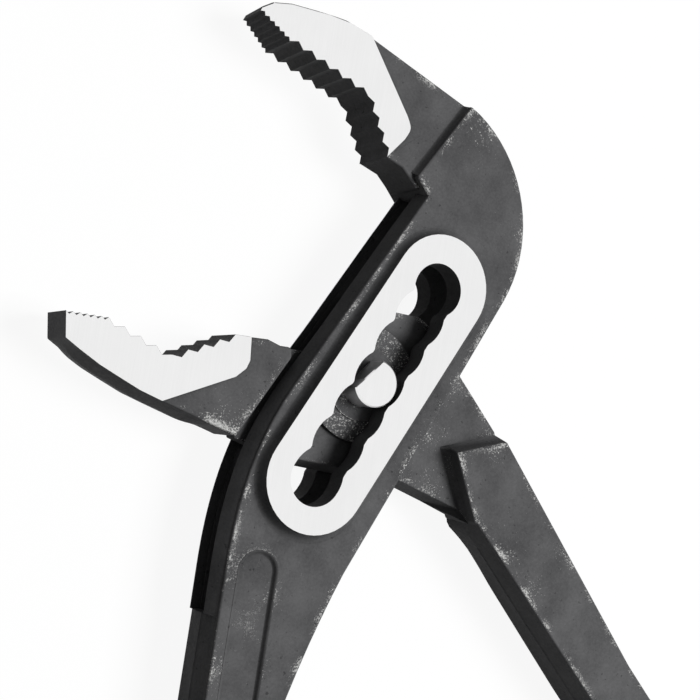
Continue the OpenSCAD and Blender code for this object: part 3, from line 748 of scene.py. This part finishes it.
class PLIERS_OT_drafts(bpy.types.Operator):
    """Makes the draft on the forgings' sides, which meets in a ridge where the dies parted"""

    bl_idname = "pliers.drafts"
    bl_label = "Drafts"

    def execute(self, context):
        sizes, steel = context.scene.pliers_sizes, finish("forged_steel")

        path, inner_path = side_path(), inner_side_path()
        down, inner_down = -path[:, 1], np.linalg.norm(inner_path, axis=1)
        most = sizes.side_draft / MM * table(down, SIDE_SHARE)
        inner_most = table(inner_down, INNER_DRAFT)
        top = body_half(path[:, 1]) - DRAFT_DROP
        inner_top = np.full(len(inner_path), ARM_HALF - DRAFT_DROP)
        open_box, no_box = path[:, 1] > BOX_FLOOR_Y, np.zeros(len(inner_path), bool)
        for side, face, outer_edge, inner_edge in SIDES:
            edge = outer_edge * table(down, OUTER_EDGE) - DRAFT_START
            points = side_draft(path, most, edge, top, face, open_box)
            settle(carried(f"side_draft_{side}", points, False, steel), "outer", "forged_steel")
            edge = inner_edge * table(inner_down, INNER_EDGE) - DRAFT_START
            points = side_draft(inner_path, inner_most, edge, inner_top, face, no_box)
            settle(carried(f"inner_draft_{side}", points, False, steel), "inner", "forged_steel")

        # The lower jaw's belly: the parting line stands out, and the back half slopes in again a little
        corners = np.array(BELLY)
        length = np.r_[0, np.cumsum(np.linalg.norm(np.diff(corners, axis=0), axis=1))]
        run = np.linspace(BELLY_ENDS[0], length[-1] - BELLY_ENDS[1], 48)
        path = np.c_[np.interp(run, length, corners[:, 0]), np.interp(run, length, corners[:, 1])]
        fade = smooth(np.minimum(run / BELLY_FADES[0], (run[-1] - run) / BELLY_FADES[1]))[:, None]
        z, roof = np.array(BELLY_SECTION).T
        away = np.hstack([roof * sizes.belly_draft / MM * fade, np.full((len(run), 2), -DRAFT_INSIDE)])
        height = np.broadcast_to(np.r_[z, -BELLY_HIDDEN, BELLY_HIDDEN], away.shape)
        points = lay(path, outwards(path), away, height)
        settle(carried("belly_draft", points, False, steel), "inner", "forged_steel")

        # Ridges on the handles' right sides: a low roof with a rounded top, which fades in
        z, roof = np.array(RIDGE_SECTION).T
        rows = (("outer", OUTER_X, -1, 0, HANDLE_EVEN), ("inner", INNER_X, 1, INNER_ANGLE, INNER_RIDGE_FROM))
        for body, x, lean, angle, start in rows:
            s = np.linspace(start, INTO_GRIP, 30)[:, None]
            fade = smooth((s - start) / RIDGE_FADE)
            wall = x + lean * bow(s) + HANDLE_HALF
            hidden = wall - RIDGE_INSIDE
            front = np.hstack([wall + sizes.parting_ridge / MM * roof * fade, hidden, hidden])
            height = np.broadcast_to(np.r_[z, z[-1], z[0]], front.shape)
            points = np.dstack([front * MM, np.broadcast_to(-s * MM, front.shape), MID + height * MM])
            piece = carried(f"parting_ridge_{body}_right", swung(points, angle), False, steel)
            settle(piece, body, "forged_steel")
        return {"FINISHED"}


class PLIERS_OT_pin(bpy.types.Operator):
    """Makes the D-shaped pivot pin with broken edges, and finishes its core"""

    bl_idname = "pliers.pin"
    bl_label = "Pivot pin"

    def execute(self, context):
        # Radius at each angle: the pin's radius, or less where the flat cuts it
        turn = np.linspace(0, 2 * np.pi, 160, endpoint=False)
        facing = SLOT_ANGLE - PIN_TURN + math.pi / 2
        near = np.maximum(np.cos(turn - facing), 1e-6)
        radius = np.minimum(PIN_RADIUS, PIN_FLAT / near)
        edge = PAD_TOP - PIN_BREAK * MM
        level = np.array([-PAD_TOP, -edge, edge, PAD_TOP])[:, None]
        inset = np.array([PIN_BREAK, 0, 0, PIN_BREAK])[:, None]
        ring = (radius - inset) * MM
        height = np.broadcast_to(MID + level, ring.shape)
        points = np.dstack([ring * np.cos(turn), ring * np.sin(turn), height])
        piece = carried("pivot_pin_ground", points, False, finish("ground_steel"))
        settle(piece, "inner", "ground_steel", "pivot_pin")
        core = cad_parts["pin_core"]
        core.data.materials.clear()
        core.data.materials.append(finish("ground_steel"))
        return {"FINISHED"}


class PLIERS_OT_grips(bpy.types.Operator):
    """Makes the two moulded grips: a sleeve with a lip, ribs and a rounded closed end"""

    bl_idname = "pliers.grips"
    bl_label = "Grips"

    def execute(self, context):
        sizes = context.scene.pliers_sizes
        pitch, depth, ribs = sizes.rib_pitch / MM, sizes.rib_depth / MM, sizes.rib_count
        half_w, half_t = HANDLE_HALF + GRIP_WALL, PAD_TOP / MM
        end = HANDLE_END + GRIP_FOOT
        foot = end - FOOT_ROUND
        # Outside, from the mouth to the end: a full lip, a waist, ribs, and a quarter ellipse at the foot
        s = np.concatenate([GRIP_FROM + MOUTH_ROUND * (1 - np.cos(np.linspace(0, np.pi / 2, 7))),
                            np.arange(GRIP_FROM + (MOUTH_ROUND + GRIP_STEP), foot, GRIP_STEP),
                            foot + FOOT_ROUND * np.sin(np.linspace(0, np.pi / 2, 22))])
        lip = 1 / (1 + np.exp((s - GRIP_FROM - LIP_END) / LIP_FALL))
        swell = 0.5 - 0.5 * np.cos(2 * np.pi * np.clip((s - GRIP_FROM) / (end - GRIP_FROM), 0, 1))
        size = -WAIST * (1 - lip) + SWELL * swell
        first = GRIP_FROM + RIBS_FROM
        wave = np.abs(np.sin(np.pi * (s - first) / pitch)) ** RIB_POWER
        inside = (s > first) & (s < first + ribs * pitch)
        size = size - np.where(inside, depth * (1 - wave), 0)
        mouth = np.clip((s - GRIP_FROM) / MOUTH_ROUND, 0, 1)
        size = size - MOUTH_ROUND * (1 - np.sqrt(1 - (1 - mouth) ** 2))
        close = np.sqrt(np.clip(1 - (np.clip(s - foot, 0, FOOT_ROUND) / FOOT_ROUND) ** 2, 1e-4, 1))
        out_w, out_t = (half_w + size) * close, (half_t - GRIP_SHY + np.minimum(size, 0)) * close
        # Inside, from the bore's end back to the mouth
        bore = np.linspace(HANDLE_END + GRIP_FIT, GRIP_FROM, BORE_RINGS)
        along = np.concatenate([bore, s])[:, None]
        wide = np.concatenate([np.full(BORE_RINGS, HANDLE_HALF + GRIP_FIT), out_w])[:, None]
        thick = np.concatenate([np.full(BORE_RINGS, ARM_HALF + GRIP_FIT), out_t])[:, None]
        # Each ring is a superellipse: the cosine and sine to the power 2 / p
        power = np.repeat([BORE_POWER, SLEEVE_POWER], [BORE_RINGS, len(s)])[:, None]
        angle = np.linspace(0, 2 * np.pi, 96, endpoint=False)[None, :]
        x = wide * np.sign(np.cos(angle)) * np.abs(np.cos(angle)) ** (2 / power)
        z = thick * np.sign(np.sin(angle)) * np.abs(np.sin(angle)) ** (2 / power)
        y = np.broadcast_to(-along, x.shape)
        for body, centre, lean, turn in (("outer", OUTER_X, -1, 0), ("inner", INNER_X, 1, INNER_ANGLE)):
            points = np.dstack([(centre + lean * bow(along) + x) * MM, y * MM, MID + z * MM])
            piece = carried(f"{body}_grip_sleeve", swung(points, turn), False, finish("grip_plastic"))
            settle(piece, body, "grip_plastic", f"{body}_grip")
        return {"FINISHED"}


def seen_ray(tree):
    """1 for rays from the camera, in reflections and through glass, and 0 for rays that only bring light."""
    path = add(tree, "ShaderNodeLightPath")
    seen = add(tree, "ShaderNodeMath", {0: path.outputs["Is Camera Ray"], 1: path.outputs["Is Glossy Ray"]},
               operation="MAXIMUM")
    return add(tree, "ShaderNodeMath", {0: seen.outputs[0], 1: path.outputs["Is Transmission Ray"]},
               operation="MAXIMUM").outputs[0]


class PLIERS_OT_stage(bpy.types.Operator):
    """Makes the floor, the world, the lamp and the camera"""

    bl_idname = "pliers.stage"
    bl_label = "Stage"

    def execute(self, context):
        scene, colours = context.scene, context.scene.pliers_colours
        scene.view_settings.view_transform = "Standard"

        mesh = bpy.data.meshes.new("floor")
        corners = ((-1, -1), (1, -1), (1, 1), (-1, 1))
        mesh.from_pydata([(x * FLOOR_HALF, y * FLOOR_HALF, FLOOR_Z) for x, y in corners], [], [(0, 1, 2, 3)])
        floor = bpy.data.objects.new("floor", mesh)
        scene.collection.objects.link(floor)
        # Matt pale floor: white to the camera and in reflections, less a little of the object's shadow
        material = bpy.data.materials.new("matt_pale_floor")
        material.use_nodes = True
        tree = material.node_tree
        tree.nodes.clear()
        white = add(tree, "ShaderNodeEmission", {"Color": (1, 1, 1, 1), "Strength": 1.0})
        shaded = add(tree, "ShaderNodeBsdfDiffuse", {"Color": (1, 1, 1, 1)})
        view = add(tree, "ShaderNodeMixShader", {0: FLOOR_WHITE, 1: shaded.outputs[0], 2: white.outputs[0]})
        matt = add(tree, "ShaderNodeBsdfDiffuse", {"Color": (*colours.floor, 1)})
        mix = add(tree, "ShaderNodeMixShader", {0: seen_ray(tree), 1: matt.outputs[0], 2: view.outputs[0]})
        add(tree, "ShaderNodeOutputMaterial", {"Surface": mix.outputs[0]})
        mesh.materials.append(material)

        world = bpy.data.worlds.new("studio")
        scene.world = world
        world.use_nodes = True
        tree = world.node_tree
        tree.nodes.clear()
        level = add(tree, "ShaderNodeMapRange", {"Value": seen_ray(tree), "To Min": SKY_LIGHT, "To Max": 1.0})
        sky = add(tree, "ShaderNodeBackground", {"Color": (1, 1, 1, 1), "Strength": level.outputs["Result"]})
        add(tree, "ShaderNodeOutputWorld", {"Surface": sky.outputs[0]})

        lamp = bpy.data.lights.new("key", "AREA")
        lamp.shape, lamp.size, lamp.energy = "SQUARE", LAMP_SIZE, LAMP_POWER
        stand = bpy.data.objects.new("key", lamp)
        stand.location = LAMP_PLACE
        stand.rotation_euler = Vector(LAMP_PLACE).to_track_quat("Z", "Y").to_euler()
        stand.visible_glossy = False
        scene.collection.objects.link(stand)

        camera = bpy.data.cameras.new("camera")
        camera.lens, camera.sensor_width, camera.clip_start = CAMERA_LENS, CAMERA_SENSOR, CAMERA_NEAR
        stand = bpy.data.objects.new("camera", camera)
        stand.location = CAMERA_PLACE
        stand.rotation_euler = [math.radians(a) for a in CAMERA_TURN]
        scene.collection.objects.link(stand)
        scene.camera = stand
        return {"FINISHED"}


STEPS = (PLIERS_OT_outer_arm, PLIERS_OT_inner_arm, PLIERS_OT_slopes, PLIERS_OT_drafts,
         PLIERS_OT_pin, PLIERS_OT_grips, PLIERS_OT_stage)


class PLIERS_PT_finishing(bpy.types.Panel):
    """Lists the sizes, the colours and the steps"""

    bl_idname = "PLIERS_PT_finishing"
    bl_label = "Pliers"
    bl_space_type = "VIEW_3D"
    bl_region_type = "UI"
    bl_category = "Pliers"

    def draw(self, context):
        for group in (context.scene.pliers_sizes, context.scene.pliers_colours):
            column = self.layout.column(align=True)
            for key in type(group).__annotations__:
                column.prop(group, key)
        for step in STEPS:
            self.layout.operator(step.bl_idname)


CLASSES = (PliersSizes, PliersColours, *STEPS, PLIERS_PT_finishing)


def register():
    """Adds the classes, and the sizes and colours on the scene."""
    for each in CLASSES:
        bpy.utils.register_class(each)
    bpy.types.Scene.pliers_sizes = PointerProperty(type=PliersSizes)
    bpy.types.Scene.pliers_colours = PointerProperty(type=PliersColours)


def unregister():
    """Takes them off again."""
    del bpy.types.Scene.pliers_colours
    del bpy.types.Scene.pliers_sizes
    for each in reversed(CLASSES):
        bpy.utils.unregister_class(each)


def main():
    """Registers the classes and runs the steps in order."""
    register()
    for step in STEPS:
        group, name = step.bl_idname.split(".")
        getattr(getattr(bpy.ops, group), name)()


if __name__ == "__main__":
    main()
